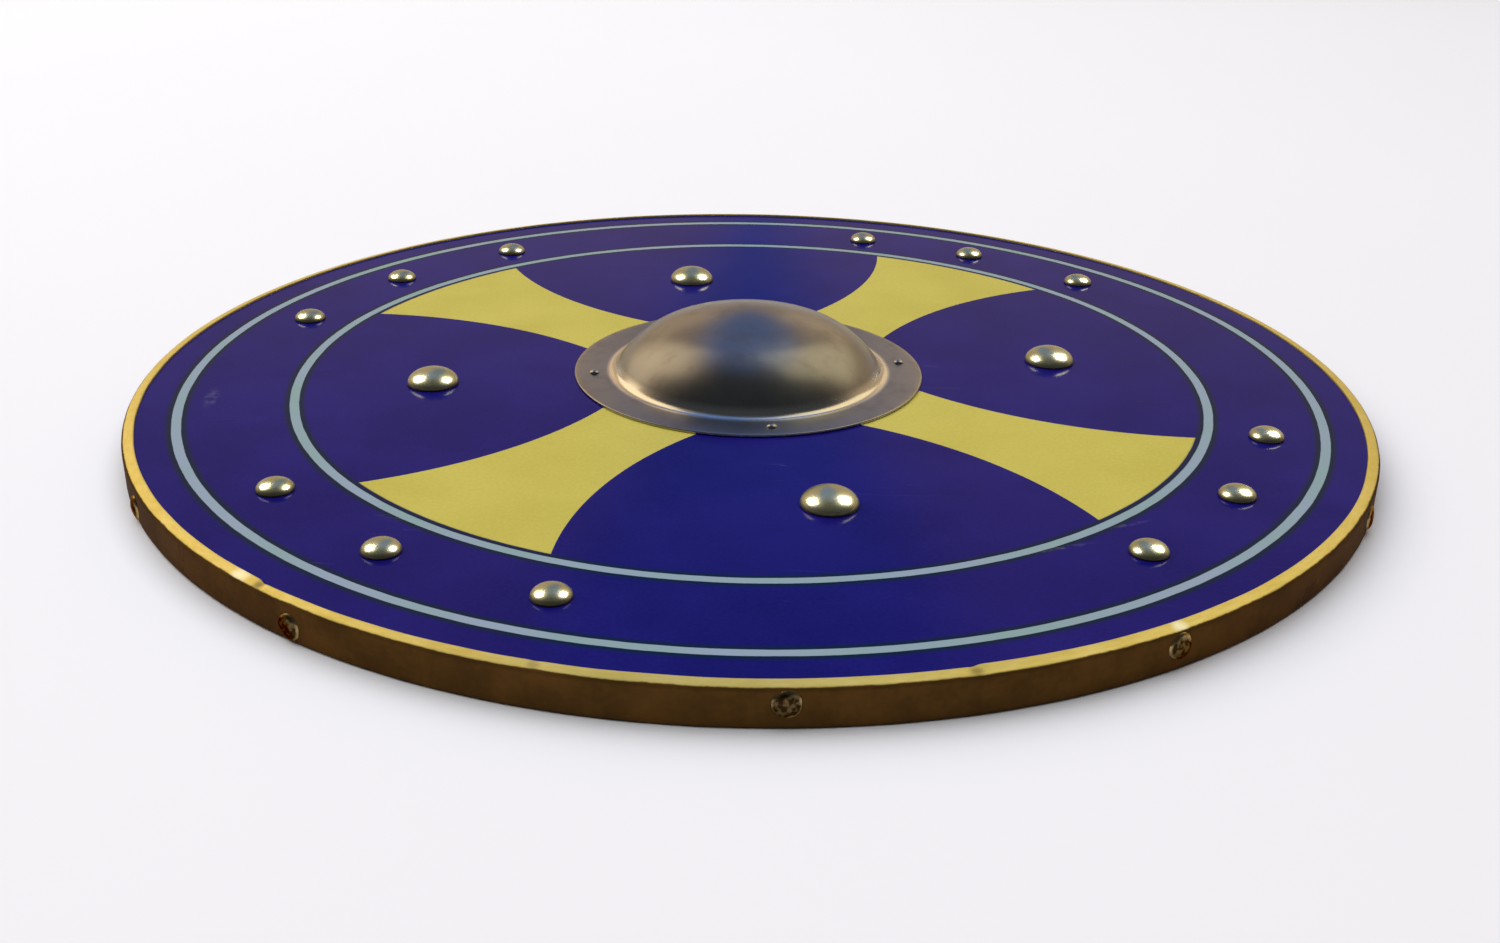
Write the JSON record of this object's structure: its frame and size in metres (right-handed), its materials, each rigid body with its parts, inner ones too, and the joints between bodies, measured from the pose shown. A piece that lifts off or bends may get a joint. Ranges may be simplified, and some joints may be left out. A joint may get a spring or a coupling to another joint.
{
  "type": "round shield",
  "caption": "Round wooden shield with a painted cross, domed steel boss, brass edging and domed studs; hand hole with a grip behind the boss.",
  "frame": {"origin": "centre of the disc, on the plane that the back of the edging rests on", "axes": "+Z out of the painted face through the boss, +Y to the far side of the picture, +X to its right"},
  "size_m": [0.614, 0.6138, 0.0477],
  "materials": {
    "painted_board": "semi-gloss blue and yellow paint on the face, bare plywood behind",
    "brass_edging": "rubbed brass, dull and brown on the side",
    "steel_boss": "satin steel",
    "boss_nail_steel": "bright steel",
    "stud_metal": "polished pale brass"
  },
  "bodies": {
    "root": {"board": "painted_board", "brass_edging": "brass_edging", "boss": "steel_boss", "boss_nail_1": "boss_nail_steel", "boss_nail_2": "boss_nail_steel", "boss_nail_3": "boss_nail_steel", "boss_nail_4": "boss_nail_steel", "large_stud_1": "stud_metal", "large_stud_2": "stud_metal", "large_stud_3": "stud_metal", "large_stud_4": "stud_metal", "small_stud_01": "stud_metal", "small_stud_02": "stud_metal", "small_stud_03": "stud_metal", "small_stud_04": "stud_metal", "small_stud_05": "stud_metal", "small_stud_06": "stud_metal", "small_stud_07": "stud_metal", "small_stud_08": "stud_metal", "small_stud_09": "stud_metal", "small_stud_10": "stud_metal", "small_stud_11": "stud_metal", "small_stud_12": "stud_metal", "rim_nail_01": "stud_metal", "rim_nail_02": "stud_metal", "rim_nail_03": "stud_metal", "rim_nail_04": "stud_metal", "rim_nail_05": "stud_metal", "rim_nail_06": "stud_metal", "rim_nail_07": "stud_metal", "rim_nail_08": "stud_metal", "rim_nail_09": "stud_metal", "rim_nail_10": "stud_metal", "rim_nail_11": "stud_metal", "rim_nail_12": "stud_metal"}
  },
  "joints": []
}
